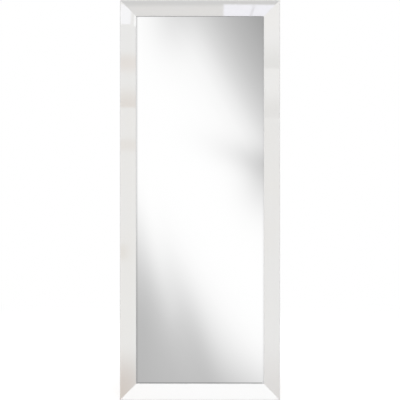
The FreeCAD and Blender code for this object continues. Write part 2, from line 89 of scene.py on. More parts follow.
# Colours, linear
WHITE = (1.0, 1.0, 1.0, 1.0)
FOIL_WARM = (0.826, 0.818, 0.802, 1.0)
FOIL_COOL = (0.826, 0.826, 0.824, 1.0)
# Painted warm shade at the foot of the left stile
FOIL_PAINTED_WARM_SHADE = (0.76, 0.715, 0.665, 1.0)
RAW_DARK = (0.30, 0.195, 0.11, 1.0)
RAW_LIGHT = (0.47, 0.335, 0.205, 1.0)
RAW_SPECK = (0.16, 0.10, 0.055, 1.0)
JOINT_SHADE = (0.36, 0.35, 0.34, 1.0)
DUST = (0.56, 0.54, 0.50, 1.0)
SILVER = (0.937, 0.937, 0.937, 1.0)
# Silver darkened by the painted shade along the rim
SILVER_PAINTED_SHADE = (0.655, 0.66, 0.66, 1.0)
PANE_PAINT = (0.24, 0.25, 0.25, 1.0)
BOARD_DARK = (0.235, 0.13, 0.068, 1.0)
BOARD_LIGHT = (0.345, 0.21, 0.118, 1.0)
BOARD_SPECK = (0.11, 0.06, 0.03, 1.0)
ZINC_DARK = (0.53, 0.545, 0.57, 1.0)
ZINC_LIGHT = (0.73, 0.735, 0.745, 1.0)
NICKEL_DARK = (0.64, 0.62, 0.58, 1.0)
NICKEL_LIGHT = (0.78, 0.77, 0.74, 1.0)
BLUED_DARK = (0.30, 0.31, 0.34, 1.0)
BLUED_LIGHT = (0.50, 0.50, 0.50, 1.0)
# Rubbed edges, lighter: wear with a painted highlight
ZINC_RUBBED_HIGHLIT = (0.80, 0.80, 0.81, 1.0)
BLUED_RUBBED_HIGHLIT = (0.60, 0.60, 0.60, 1.0)
# Painted shade with grime in corners and recesses
SHADE_AND_GRIME = (0.06, 0.05, 0.045, 1.0)
RUBBER_DARK = (0.028, 0.028, 0.030, 1.0)
RUBBER_BLOOM = (0.085, 0.085, 0.088, 1.0)
BLACK = (0.0, 0.0, 0.0, 1.0)
FLOOR_TONE = (0.62, 0.62, 0.62, 1.0)
FLOOR_GLOW = (0.44, 0.44, 0.44, 1.0)

# Foil: its gloss, the line at a mitre, a painted warm shade at the foot, the waviness and where the
# bare back shows
FOIL_IOR = 1.55
FOIL_COAT = 0.85
COAT_ROUGH = 0.01
DUSTY_ROUGH = 0.55
RAW_ROUGH = 0.86
JOINT_EDGE = 0.35 * MM
JOINT_CORE = 0.10 * MM
JOINT_SHOWS = 0.35
# How far up and across the painted warm shade at the foot reaches
WARM_SHADE_HEIGHT = 250.0 * MM
WARM_SHADE_WIDTH = 2 * RAIL_WIDTH
WARM_SHADE_EDGE = 0.2 * MM
PEEL_DEPTH = 0.0002 * MM
FIBRE_DEPTH = 0.06 * MM
ARRIS_FOIL = (1.0 * MM, 1.4 * MM)
BARE_STARTS = (PANE_FRONT + 0.1 * MM, PANE_FRONT + 0.3 * MM)
ON_LAP = (BACK + LAP_THICK / 4, BACK + LAP_THICK / 2)

# Glass: a painted shade on its rim beside the lip, wider at the foot and on the left, weaker on the
# right
# A pair is where the shade ends and where it is full, in from the sight edge
RIM_SHADE = (2.2 * MM, 1.0 * MM)
WIDE_SHADE = (5.6 * MM, 4.8 * MM)
WIDE_SHADE_ENDS = (9.0 * MM, 7.5 * MM)
LEFT_SHADE_SHOWS = 0.7
SIDE_SHADE = (10.0 * MM, 4.0 * MM)
SIDE_SHADE_SHOWS = 0.2
RIGHT_RIM = (8.0 * MM, 6.0 * MM)
RIGHT_RIM_SHOWS = 0.55
PAINT_STARTS = (PANE_FRONT + 0.1 * MM, PANE_FRONT + 0.4 * MM)
PAINT_ROUGH = 0.6

# Board: the press screen's mesh, and the fibre's share of its relief
SCREEN_PITCH = 1.8 * MM
SCREEN_DEPTH = 0.12 * MM
SCREEN_FIBRE = 0.6

# Metal and rubber
GRIMY_ROUGH = 0.7
RUBBER_ROUGH = (0.5, 0.68)
RUBBER_GRAIN = 0.02 * MM

# Levels that an effect starts and ends at, and what it gives there if not 0 and 1
CLOUD_SPREAD = (0.32, 0.68)
TONE_SPREAD = (0.36, 0.64)
SPECK_SPREAD = (0.68, 0.78, 0.0, 0.55)
DUST_FACING = (0.35, 0.95)
DUST_PATCHES = (0.30, 0.70, 0.35, 1.0)
EDGE_TURN = (0.985, 0.80)
EDGE_BREAKS = (0.34, 0.62, 0.25, 1.0)
CREVICE_SKY = (0.85, 0.25)

# Slow drift of tone: its scale and its share, in fibre and in metal
FIBRE_DRIFT = 9.0
FIBRE_DRIFT_SHARE = 0.22
METAL_DRIFT = 140.0
METAL_DRIFT_SHARE = 0.5


# Node helpers

def feed(tree, socket, value):
    """Links a socket to another one, or sets its value."""
    if isinstance(value, bpy.types.NodeSocket):
        tree.links.new(value, socket)
    else:
        socket.default_value = value


def add(tree, kind, inputs=None, **settings):
    """A node of that kind, with its settings and its inputs, by name or place, filled in."""
    made = tree.nodes.new(kind)
    for name, value in settings.items():
        setattr(made, name, value)
    for name, value in (inputs or {}).items():
        feed(tree, made.inputs[name], value)
    return made


def calc(tree, operation, *values):
    """One step of arithmetic on numbers or sockets."""
    return add(tree, "ShaderNodeMath", dict(enumerate(values)), operation=operation).outputs[0]


def fade(tree, value, start, end, low=0.0, high=1.0):
    """A smooth step from low, where value is start, to high, where it is end."""
    limits = {"Value": value, "From Min": start, "From Max": end, "To Min": low, "To Max": high}
    return add(tree, "ShaderNodeMapRange", limits, interpolation_type="SMOOTHSTEP").outputs["Result"]


# A Mix node has sockets of its own for each kind of value, so these go by their place

def blend(tree, share, first, second, kind="MIX"):
    """Two colours blended by a share from 0 to 1."""
    inputs = {0: share, 6: first, 7: second}
    return add(tree, "ShaderNodeMix", inputs, data_type="RGBA", blend_type=kind).outputs[2]


def lerp(tree, share, first, second):
    """Two numbers blended by a share from 0 to 1."""
    return add(tree, "ShaderNodeMix", {0: share, 2: first, 3: second}).outputs[0]


def turn(tree, share, first, second):
    """Two normals blended by a share from 0 to 1."""
    inputs = {0: share, 4: first, 5: second}
    return add(tree, "ShaderNodeMix", inputs, data_type="VECTOR").outputs[1]


def bump(tree, height, depth):
    """A normal from a height, where a height of 1 stands that deep."""
    return add(tree, "ShaderNodeBump", {"Height": height, "Distance": depth}).outputs["Normal"]


def parts_of(tree, vector):
    """The x, y and z sockets of a vector."""
    return tuple(add(tree, "ShaderNodeSeparateXYZ", {"Vector": vector}).outputs)


def object_place(tree):
    """The point in the piece's own metres, which move with it."""
    return add(tree, "ShaderNodeTexCoord").outputs["Object"]


def stretched_place(tree, stretch):
    """The same point, multiplied along each axis."""
    inputs = {0: object_place(tree), 1: stretch}
    return add(tree, "ShaderNodeVectorMath", inputs, operation="MULTIPLY").outputs[0]


def noise(tree, vector, scale, detail=2.0, roughness=0.5, twist=0.0):
    """A noise value, mostly between 0.3 and 0.7, drawn out into strands by a twist."""
    inputs = {
        "Vector": vector, "Scale": scale, "Detail": detail, "Roughness": roughness, "Distortion": twist,
    }
    return add(tree, "ShaderNodeTexNoise", inputs).outputs["Fac"]


def ridges(tree, run, pitch):
    """A row of rounded ridges along a run, with a groove between each two."""
    wave = calc(tree, "SINE", calc(tree, "MULTIPLY", run, math.pi / pitch))
    return calc(tree, "MULTIPLY", wave, wave)


# Node groups, each used by more than one finish

NUMBER = "NodeSocketFloat"
TRIPLE = "NodeSocketVector"
COLOUR = "NodeSocketColor"


def new_group(name, inputs, outputs):
    """An empty shader group with its sockets, and its input and output nodes."""
    tree = bpy.data.node_groups.new(name, "ShaderNodeTree")
    for label, kind, value in inputs:
        tree.interface.new_socket(label, in_out="INPUT", socket_type=kind).default_value = value
    for label, kind in outputs:
        tree.interface.new_socket(label, in_out="OUTPUT", socket_type=kind)
    return tree, tree.nodes.new("NodeGroupInput").outputs, tree.nodes.new("NodeGroupOutput").inputs


def placed(tree, group, **values):
    """The outputs of a group placed in a tree; an input's spaces are written as underscores."""
    inputs = {name.replace("_", " "): value for name, value in values.items()}
    return add(tree, "ShaderNodeGroup", inputs, node_tree=group, label=group.name).outputs


def make_frame_place():
    """How far a point lies in from an edge of the frame, to which side of the mitre, and how deep."""
    tree, given, result = new_group(
        "frame_place",
        [("Edge", NUMBER, 0.0)],
        [(label, NUMBER) for label in ("Inset", "Mitre", "Across", "Depth", "Height")],
    )
    x, y, z = parts_of(tree, object_place(tree))
    from_side = calc(tree, "SUBTRACT", HALF_WIDTH, calc(tree, "ABSOLUTE", x))
    height = calc(tree, "ABSOLUTE", calc(tree, "SUBTRACT", z, MIDDLE))
    from_end = calc(tree, "SUBTRACT", HALF_HEIGHT, height)
    nearest = calc(tree, "MINIMUM", from_side, from_end)
    feed(tree, result["Inset"], calc(tree, "SUBTRACT", nearest, given["Edge"]))
    feed(tree, result["Mitre"], calc(tree, "SUBTRACT", from_side, from_end))
    feed(tree, result["Across"], x)
    feed(tree, result["Depth"], y)
    feed(tree, result["Height"], z)
    return tree


def make_mottle():
    """Soft cloudy variation between two values, stretched along an axis where asked."""
    tree, given, result = new_group(
        "mottle",
        [
            ("Scale", NUMBER, 20.0), ("Stretch", TRIPLE, (1, 1, 1)),
            ("Low", NUMBER, 0.0), ("High", NUMBER, 1.0),
        ],
        [("Value", NUMBER)],
    )
    place = stretched_place(tree, given["Stretch"])
    cloud = noise(tree, place, given["Scale"], detail=4.0, roughness=0.55)
    feed(tree, result["Value"], fade(tree, cloud, *CLOUD_SPREAD, given["Low"], given["High"]))
    return tree


def make_settled_dust():
    """Dust on what faces up, in uneven patches."""
    tree, given, result = new_group(
        "settled_dust", [("Amount", NUMBER, 0.3), ("Scale", NUMBER, 60.0)], [("Dust", NUMBER)]
    )
    normal = add(tree, "ShaderNodeNewGeometry").outputs["Normal"]
    upward = fade(tree, parts_of(tree, normal)[2], *DUST_FACING)
    cloud = noise(tree, object_place(tree), given["Scale"], detail=5.0)
    settled = calc(tree, "MULTIPLY", upward, fade(tree, cloud, *DUST_PATCHES))
    feed(tree, result["Dust"], calc(tree, "MULTIPLY", settled, given["Amount"]))
    return tree


def make_rubbed_highlit_edge():
    """Where a sharp edge has been rubbed and lightened as a painted highlight, broken up along its run.
    """
    tree, given, result = new_group(
        "rubbed_highlit_edge", [("Width", NUMBER, 0.3 * MM), ("Scale", NUMBER, 900.0)], [("Edge", NUMBER)]
    )
    rounded = add(tree, "ShaderNodeBevel", {"Radius": given["Width"]}, samples=6).outputs["Normal"]
    plain = add(tree, "ShaderNodeNewGeometry").outputs["Normal"]
    meeting = add(tree, "ShaderNodeVectorMath", {0: rounded, 1: plain}, operation="DOT_PRODUCT")
    turned = fade(tree, meeting.outputs["Value"], *EDGE_TURN)
    cloud = noise(tree, object_place(tree), given["Scale"], detail=3.0)
    feed(tree, result["Edge"], calc(tree, "MULTIPLY", turned, fade(tree, cloud, *EDGE_BREAKS)))
    return tree


def make_crevice():
    """Painted shade with grime in corners and recesses, where the ambient occlusion is low."""
    tree, given, result = new_group(
        "crevice", [("Depth", NUMBER, 2.0 * MM), ("Amount", NUMBER, 0.6)], [("Shade_and_grime", NUMBER)]
    )
    sky = add(tree, "ShaderNodeAmbientOcclusion", {"Distance": given["Depth"]}, samples=8).outputs["AO"]
    closed = fade(tree, sky, *CREVICE_SKY)
    feed(tree, result["Shade_and_grime"], calc(tree, "MULTIPLY", closed, given["Amount"]))
    return tree


def make_pressed_fibre():
    """Pressed wood fibre: fine strands and dark specks over a slow drift of tone."""
    tree, given, result = new_group(
        "pressed_fibre",
        [
            ("Dark", COLOUR, RAW_DARK), ("Light", COLOUR, RAW_LIGHT),
            ("Speck", COLOUR, RAW_SPECK), ("Scale", NUMBER, 1500.0),
        ],
        [("Color", COLOUR), ("Height", NUMBER)],
    )
    place = object_place(tree)
    strands = noise(tree, place, given["Scale"], detail=4.0, roughness=0.65, twist=1.8)
    drift = noise(tree, place, FIBRE_DRIFT, detail=3.0)
    tone = lerp(tree, FIBRE_DRIFT_SHARE, strands, drift)
    colour = blend(tree, fade(tree, tone, *TONE_SPREAD), given["Dark"], given["Light"])
    flecks = noise(tree, place, given["Scale"], detail=1.0, twist=0.6)
    specks = fade(tree, flecks, *SPECK_SPREAD)
    feed(tree, result["Color"], blend(tree, specks, colour, given["Speck"]))
    feed(tree, result["Height"], strands)
    return tree


def make_drawn_metal():
    """Rolling or drawing lines in metal, with a slow drift of tone under them."""
    tree, given, result = new_group(
        "drawn_metal",
        [
            ("Stretch", TRIPLE, (1, 1, 1)), ("Scale", NUMBER, 900.0),
            ("Dark", COLOUR, ZINC_DARK), ("Light", COLOUR, ZINC_LIGHT),
            ("Polished", NUMBER, 0.25), ("Dull", NUMBER, 0.45),
        ],
        [("Color", COLOUR), ("Roughness", NUMBER), ("Height", NUMBER)],
    )
    lines = noise(tree, stretched_place(tree, given["Stretch"]), given["Scale"], detail=3.0)
    drift = noise(tree, object_place(tree), METAL_DRIFT, detail=3.0)
    spread = fade(tree, lerp(tree, METAL_DRIFT_SHARE, lines, drift), *TONE_SPREAD)
    feed(tree, result["Color"], blend(tree, spread, given["Dark"], given["Light"]))
    feed(tree, result["Roughness"], lerp(tree, spread, given["Dull"], given["Polished"]))
    feed(tree, result["Height"], lines)
    return tree


FRAME_PLACE = make_frame_place()
MOTTLE = make_mottle()
SETTLED_DUST = make_settled_dust()
RUBBED_HIGHLIT_EDGE = make_rubbed_highlit_edge()
CREVICE = make_crevice()
PRESSED_FIBRE = make_pressed_fibre()
DRAWN_METAL = make_drawn_metal()


# Finishes

def new_finish(name):
    """An empty material with a Principled shader, and its tree."""
    finish = bpy.data.materials.new(name)
    finish.use_nodes = True
    tree = finish.node_tree
    tree.nodes.clear()
    shader = tree.nodes.new("ShaderNodeBsdfPrincipled")
    output = tree.nodes.new("ShaderNodeOutputMaterial")
    tree.links.new(shader.outputs["BSDF"], output.inputs["Surface"])
    return finish, tree, shader.inputs


def gloss_foil():
    """High-gloss white foil, and the bare fibreboard behind it where the foil stops."""
    finish, tree, shader = new_finish("gloss_foil")
    place = placed(tree, FRAME_PLACE)
    drift = placed(tree, MOTTLE, Scale=2.2)["Value"]
    colour = blend(tree, drift, FOIL_COOL, FOIL_WARM)
    joint = fade(tree, calc(tree, "ABSOLUTE", place["Mitre"]), JOINT_EDGE, JOINT_CORE)
    colour = blend(tree, calc(tree, "MULTIPLY", joint, JOINT_SHOWS), colour, JOINT_SHADE)

    # Painted warm shade on the foot of the left stile, up to the mitre
    low = fade(tree, place["Height"], FLOOR + WARM_SHADE_HEIGHT, FLOOR)
    left = fade(tree, place["Across"], WARM_SHADE_WIDTH - HALF_WIDTH, -HALF_WIDTH)
    on_stile = fade(tree, place["Mitre"], WARM_SHADE_EDGE, -WARM_SHADE_EDGE)
    painted_warm_shade = calc(tree, "MULTIPLY", calc(tree, "MULTIPLY", low, left), on_stile)
    colour = blend(tree, painted_warm_shade, colour, FOIL_PAINTED_WARM_SHADE)

    dust = placed(tree, SETTLED_DUST, Amount=0.2, Scale=45.0)["Dust"]
    colour = blend(tree, dust, colour, DUST)
    smear = placed(tree, MOTTLE, Scale=14.0, Stretch=(1.0, 1.0, 0.45), Low=0.006, High=0.014)["Value"]
    rough = lerp(tree, dust, smear, DUSTY_ROUGH)
    coat = calc(tree, "SUBTRACT", FOIL_COAT, dust)
    wavy = bump(tree, placed(tree, MOTTLE, Scale=55.0)["Value"], PEEL_DEPTH)

    behind = fade(tree, place["Depth"], *BARE_STARTS)
    inside = fade(tree, place["Inset"], *ARRIS_FOIL)
    lapped = fade(tree, place["Depth"], *ON_LAP)
    uncovered = calc(tree, "SUBTRACT", 1.0, lapped)
    raw = calc(tree, "MULTIPLY", calc(tree, "MULTIPLY", behind, inside), uncovered)
    fibre = placed(tree, PRESSED_FIBRE, Dark=RAW_DARK, Light=RAW_LIGHT, Speck=RAW_SPECK, Scale=1500.0)
    # Painted shade with grime in the bare back's recesses and along the mitre
    shade_and_grime = placed(tree, CREVICE, Depth=4.0 * MM, Amount=0.5)["Shade_and_grime"]
    bare = blend(tree, calc(tree, "MAXIMUM", shade_and_grime, joint), fibre["Color"], SHADE_AND_GRIME)
    furry = bump(tree, fibre["Height"], FIBRE_DEPTH)

    feed(tree, shader["Base Color"], blend(tree, raw, colour, bare))
    feed(tree, shader["Roughness"], lerp(tree, raw, rough, RAW_ROUGH))
    feed(tree, shader["Coat Weight"], calc(tree, "MULTIPLY", coat, calc(tree, "SUBTRACT", 1.0, raw)))
    feed(tree, shader["Normal"], turn(tree, raw, wavy, furry))
    shader["IOR"].default_value = FOIL_IOR
    shader["Coat IOR"].default_value = FOIL_IOR
    shader["Coat Roughness"].default_value = COAT_ROUGH
    return finish


def silvered_glass():
    """Mirror glass: bright silver, a painted shade on the rim under the lip, painted back and ground
    edges.
    """
    finish, tree, shader = new_finish("silvered_glass")
    place = placed(tree, FRAME_PLACE, Edge=RAIL_WIDTH)
    # Painted shade on the glass rim beside the lip: wide at the foot and on the left, narrow elsewhere
    foot_ends = [SIGHT_FOOT + reach for reach in WIDE_SHADE_ENDS]
    left_ends = [reach - SIGHT_SIDE for reach in WIDE_SHADE_ENDS]
    right_ends = [SIGHT_SIDE - reach for reach in RIGHT_RIM]
    foot = fade(tree, place["Height"], *foot_ends)
    left = fade(tree, place["Across"], *left_ends, 0.0, LEFT_SHADE_SHOWS)
    narrow = fade(tree, place["Inset"], *RIM_SHADE)
    wide = fade(tree, place["Inset"], *WIDE_SHADE)
    rim = lerp(tree, calc(tree, "MAXIMUM", foot, left), narrow, wide)
    beside = fade(tree, place["Mitre"], 0.0, -SIDE_SHADE[1], 0.0, SIDE_SHADE_SHOWS)
    soft = calc(tree, "MULTIPLY", fade(tree, place["Inset"], *SIDE_SHADE), beside)
    rim = calc(tree, "MAXIMUM", rim, soft)
    right = fade(tree, place["Across"], *right_ends)
    rim = calc(tree, "MULTIPLY", rim, lerp(tree, right, 1.0, RIGHT_RIM_SHOWS))
    behind = fade(tree, place["Depth"], *PAINT_STARTS)
    paint = placed(tree, MOTTLE, Scale=30.0, Low=0.85, High=1.1)["Value"]
    painted = blend(tree, 1.0, PANE_PAINT, paint, "MULTIPLY")
    haze = placed(tree, MOTTLE, Scale=9.0, Stretch=(1.0, 1.0, 0.5), Low=0.0, High=0.012)["Value"]
    feed(tree, shader["Base Color"], blend(tree, behind, blend(tree, rim, SILVER, SILVER_PAINTED_SHADE), painted))
    feed(tree, shader["Roughness"], lerp(tree, behind, haze, PAINT_ROUGH))
    shader["Metallic"].default_value = 1.0
    return finish


def raw_hardboard():
    """Hardboard with the print of the press screen's mesh."""
    finish, tree, shader = new_finish("raw_hardboard")
    fibre = placed(
        tree, PRESSED_FIBRE, Dark=BOARD_DARK, Light=BOARD_LIGHT, Speck=BOARD_SPECK, Scale=1100.0
    )
    # Painted shade with grime in the board's recesses
    shade_and_grime = placed(tree, CREVICE, Depth=6.0 * MM, Amount=0.55)["Shade_and_grime"]
    scuffs = placed(tree, MOTTLE, Scale=18.0, Stretch=(1.0, 1.0, 0.2), Low=0.9, High=1.08)["Value"]
    colour = blend(tree, 1.0, fibre["Color"], scuffs, "MULTIPLY")
    across, _, up = parts_of(tree, object_place(tree))
    mesh = calc(tree, "MULTIPLY", ridges(tree, across, SCREEN_PITCH), ridges(tree, up, SCREEN_PITCH))
    height = calc(tree, "ADD", mesh, calc(tree, "MULTIPLY", fibre["Height"], SCREEN_FIBRE))
    feed(tree, shader["Base Color"], blend(tree, shade_and_grime, colour, SHADE_AND_GRIME))
    feed(tree, shader["Roughness"], placed(tree, MOTTLE, Scale=25.0, Low=0.62, High=0.78)["Value"])
    feed(tree, shader["Normal"], bump(tree, height, SCREEN_DEPTH))
    return finish


def plated_metal(name, tones, gloss, stretch, scale, edge, depth):
    """Plated or blued steel: drawing lines, highlit rubbed edges, and painted shade with grime in
    corners.
    """
    finish, tree, shader = new_finish(name)
    dark, light, rubbed_highlit_colour = tones
    polished, dull = gloss
    metal = placed(
        tree, DRAWN_METAL, Stretch=stretch, Scale=scale,
        Dark=dark, Light=light, Polished=polished, Dull=dull,
    )
    # Rubbed edges lightened: wear with a painted highlight
    rubbed_highlit_mask = placed(tree, RUBBED_HIGHLIT_EDGE, Width=edge)["Edge"]
    # Painted shade with grime in corners
    shade_and_grime = placed(tree, CREVICE, Depth=1.5 * MM, Amount=0.7)["Shade_and_grime"]
    colour = blend(tree, rubbed_highlit_mask, metal["Color"], rubbed_highlit_colour)
    feed(tree, shader["Base Color"], blend(tree, shade_and_grime, colour, SHADE_AND_GRIME))
    feed(tree, shader["Roughness"], lerp(tree, shade_and_grime, metal["Roughness"], GRIMY_ROUGH))
    feed(tree, shader["Normal"], bump(tree, metal["Height"], depth))
    shader["Metallic"].default_value = 1.0
    return finish


def matt_rubber():
    """Moulded black rubber with a grey bloom, lighter rubbed edges as a painted highlight, and dust."""
    finish, tree, shader = new_finish("matt_rubber")
    bloom = placed(tree, MOTTLE, Scale=260.0, Low=0.0, High=0.8)["Value"]
    # Rubbed edges lightened: wear with a painted highlight
    rubbed_highlit_mask = placed(tree, RUBBED_HIGHLIT_EDGE, Width=0.5 * MM, Scale=700.0)["Edge"]
    dust = placed(tree, SETTLED_DUST, Amount=0.25, Scale=300.0)["Dust"]
    colour = blend(tree, calc(tree, "MAXIMUM", bloom, rubbed_highlit_mask), RUBBER_DARK, RUBBER_BLOOM)
    feed(tree, shader["Base Color"], blend(tree, dust, colour, DUST))
    feed(tree, shader["Roughness"], lerp(tree, bloom, *RUBBER_ROUGH))
    feed(tree, shader["Normal"], bump(tree, placed(tree, MOTTLE, Scale=2400.0)["Value"], RUBBER_GRAIN))
    return finish


def dress(names, finish):
    """Gives CAD nodes a finish in place of their plain one."""
    for name in names:
        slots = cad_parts[name].data.materials
        slots.clear()
        slots.append(finish)


# Foil laps

def lap_edge(run):
    """How far in the foil's cut edge lies at that run along a member."""
    waves = (size * math.sin(2 * math.pi * run / length + start) for size, length, start in LAP_WAVES)
    return LAP_WIDTH + sum(waves)


def make_lap(name, corner, along, inward, length, finish):
    """The foil turned over onto the back of one member, with an uneven cut edge and mitred ends."""
    steps = round(length / LAP_STEP)
    mesh = bmesh.new()
    rows = []
    for step in range(steps + 1):
        share = step / steps
        corners = []
        for inset in (LAP_START, lap_edge(share * length)):
            spot = corner + along * (inset + share * (length - 2 * inset)) + inward * inset
            for depth in (BACK - LAP_SUNK, BACK + LAP_THICK):
                corners.append(mesh.verts.new((spot.x, depth, spot.z)))
        outer_low, outer_high, inner_low, inner_high = corners
        rows.append((outer_low, outer_high, inner_high, inner_low))
    for first, second in zip(rows, rows[1:]):
        for side in range(len(first)):
            after = (side + 1) % len(first)
            mesh.faces.new((first[side], first[after], second[after], second[side]))
    mesh.faces.new(rows[0])
    mesh.faces.new(reversed(rows[-1]))
    bmesh.ops.recalc_face_normals(mesh, faces=mesh.faces)
    data = bpy.data.meshes.new(name)
    mesh.to_mesh(data)
    mesh.free()
    data.materials.append(finish)
    lap = bpy.data.objects.new(name, data)
    bpy.context.scene.collection.objects.link(lap)
    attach(lap, "mirror_frame")


def make_laps(finish):
    """A lap on each of the four members, run round the frame's back edge."""
    low, high = MIDDLE - HALF_HEIGHT, MIDDLE + HALF_HEIGHT
    x_way, z_way = Vector((1, 0, 0)), Vector((0, 0, 1))
    make_lap("foil_lap_bottom", Vector((-HALF_WIDTH, 0, low)), x_way, z_way, 2 * HALF_WIDTH, finish)
    make_lap("foil_lap_top", Vector((HALF_WIDTH, 0, high)), -x_way, -z_way, 2 * HALF_WIDTH, finish)
    make_lap("foil_lap_left", Vector((-HALF_WIDTH, 0, high)), -z_way, x_way, 2 * HALF_HEIGHT, finish)
    make_lap("foil_lap_right", Vector((HALF_WIDTH, 0, low)), z_way, -x_way, 2 * HALF_HEIGHT, finish)


# Studio: what the gloss and the glass reflect, lamps, floor and camera

def ramp(tree, value, stops):
    """A grey ramp along value; each stop is a place and a linear level."""
    places = [place for place, _ in stops]
    low, high = places[0], places[-1]
    share = add(tree, "ShaderNodeMapRange", {"Value": value, "From Min": low, "From Max": high})
    made = add(tree, "ShaderNodeValToRGB", {"Fac": share.outputs["Result"]})
    elements = made.color_ramp.elements
    for place in places[1:-1]:
        elements.new((place - low) / (high - low))
    for element, (place, level) in zip(elements, stops):
        element.position = (place - low) / (high - low)
        element.color = (level, level, level, 1.0)
    return made.outputs["Color"]


def make_light_panel():
    """A panel of light with soft sides, foot and head, laid over what is behind it."""
    tree, given, result = new_group(
        "light_panel",
        [
            ("Behind", COLOUR, WHITE), ("Light", COLOUR, WHITE), ("Share", NUMBER, 1.0),
            ("Across", NUMBER, 0.0), ("Up", NUMBER, 0.0), ("Slant", NUMBER, 0.0),
            ("Left", NUMBER, 0.0), ("Right", NUMBER, 0.0), ("Side", NUMBER, 0.01),
            ("Bottom", NUMBER, 0.0), ("Top", NUMBER, 0.0),
            ("Foot", NUMBER, 0.01), ("Head", NUMBER, 0.01),
        ],
        [("Color", COLOUR)],
    )
    rise = calc(tree, "SUBTRACT", given["Up"], given["Top"])
    upright = calc(tree, "SUBTRACT", given["Across"], calc(tree, "MULTIPLY", rise, given["Slant"]))
    mask = given["Share"]
    for value, low, high, after_low, before_high in (
        (upright, "Left", "Right", "Side", "Side"),
        (given["Up"], "Bottom", "Top", "Foot", "Head"),
    ):
        risen = calc(tree, "ADD", given[low], given[after_low])
        falling = calc(tree, "SUBTRACT", given[high], given[before_high])
        mask = calc(tree, "MULTIPLY", mask, fade(tree, value, given[low], risen))
        mask = calc(tree, "MULTIPLY", mask, fade(tree, value, given[high], falling))
    feed(tree, result["Color"], blend(tree, mask, given["Behind"], given["Light"]))
    return tree


def make_soft_shade():
    """A soft oval shade, multiplied into what is behind it; a depth below zero lightens."""
    tree, given, result = new_group(
        "soft_shade",
        [
            ("Behind", COLOUR, WHITE), ("Across", NUMBER, 0.0), ("Up", NUMBER, 0.0),
            ("Centre Across", NUMBER, 0.0), ("Centre Up", NUMBER, 0.0), ("Half Width", NUMBER, 0.1),
            ("Half Height", NUMBER, 0.1), ("Slant", NUMBER, 0.0), ("Depth", NUMBER, 0.2),
        ],
        [("Color", COLOUR)],
    )
    side = calc(tree, "SUBTRACT", given["Across"], given["Centre Across"])
    rise = calc(tree, "SUBTRACT", given["Up"], given["Centre Up"])
    rise = calc(tree, "SUBTRACT", rise, calc(tree, "MULTIPLY", side, given["Slant"]))
    wide = calc(tree, "DIVIDE", side, given["Half Width"])
    tall = calc(tree, "DIVIDE", rise, given["Half Height"])
    spread = calc(tree, "ADD", calc(tree, "MULTIPLY", wide, wide), calc(tree, "MULTIPLY", tall, tall))
    bell = calc(tree, "EXPONENT", calc(tree, "MULTIPLY", spread, -1.0))
    kept = calc(tree, "SUBTRACT", 1.0, calc(tree, "MULTIPLY", bell, given["Depth"]))
    grey = add(tree, "ShaderNodeCombineColor", {"Red": kept, "Green": kept, "Blue": kept})
    feed(tree, result["Color"], blend(tree, 1.0, given["Behind"], grey.outputs["Color"], "MULTIPLY"))
    return tree


def shade(centre, half, depth, slant=0.0):
    """The values of one soft shade."""
    return {
        "Centre_Across": centre[0], "Centre_Up": centre[1],
        "Half_Width": half[0], "Half_Height": half[1],
        "Depth": depth, "Slant": slant,
    }


def panel(across, up, light, side=0.06, foot=0.06, head=0.06, slant=0.0):
    """The values of one panel: its reach across and up, its light, its soft edges and its lean."""
    return {
        "Left": across[0], "Right": across[1], "Bottom": up[0], "Top": up[1], "Light": (*light, 1.0),
        "Side": side, "Foot": foot, "Head": head, "Slant": slant,
    }


# What gloss and glass mirror. Places are metres on the glass from its middle, as the camera sees them
# The level that silvered glass shows as full white
STUDIO_LIGHT = (1.067, 1.067, 1.067, 1.0)
# Soft bands: a direction across and up, and the share of light along it
BANDS = (
    (0.86, 0.51, (
        (-0.75, 1.0), (0.05, 1.0), (0.105, 0.997), (0.155, 0.989), (0.205, 0.972), (0.255, 0.932),
        (0.30, 0.836), (0.345, 0.70), (0.39, 0.592), (0.44, 0.502), (0.535, 0.38), (0.67, 0.33),
        (0.95, 0.8), (1.25, 1.0),
    )),
    (-0.8, -0.6, (
        (-0.75, 1.0), (0.05, 1.0), (0.10, 0.995), (0.14, 0.982), (0.18, 0.95), (0.22, 0.89),
        (0.26, 0.815), (0.30, 0.73), (0.34, 0.65), (0.38, 0.592), (0.42, 0.556), (0.46, 0.53),
        (0.58, 0.485), (0.7, 0.5), (0.95, 0.85), (1.25, 1.0),
    )),
)
SHADES = (
    # at the head of the pane
    shade((-0.10, 0.72), (0.085, 0.16), 0.19),
    # at its right side, near the middle
    shade((0.25, 0.13), (0.18, 0.06), 0.19, slant=-0.35),
    shade((0.28, 0.03), (0.11, 0.11), 0.13),
    shade((0.245, 0.095), (0.08, 0.10), 0.135),
    # in its lower part: a light streak with darker patches beside it
    shade((-0.155, -0.25), (0.055, 0.16), -0.075, slant=-2.9),
    shade((-0.105, -0.405), (0.03, 0.07), -0.03),
    shade((-0.01, -0.52), (0.075, 0.14), 0.09, slant=-2.0),
    shade((0.225, -0.75), (0.20, 0.14), 0.16),
    shade((-0.22, -0.45), (0.05, 0.16), 0.05),
)
ALONG_RAIL = (-0.55, 0.55)
ALONG_STILE = (-0.95, 0.95)
TO_LEFT = (-1.85, -1.50)
TO_RIGHT = (1.50, 1.85)
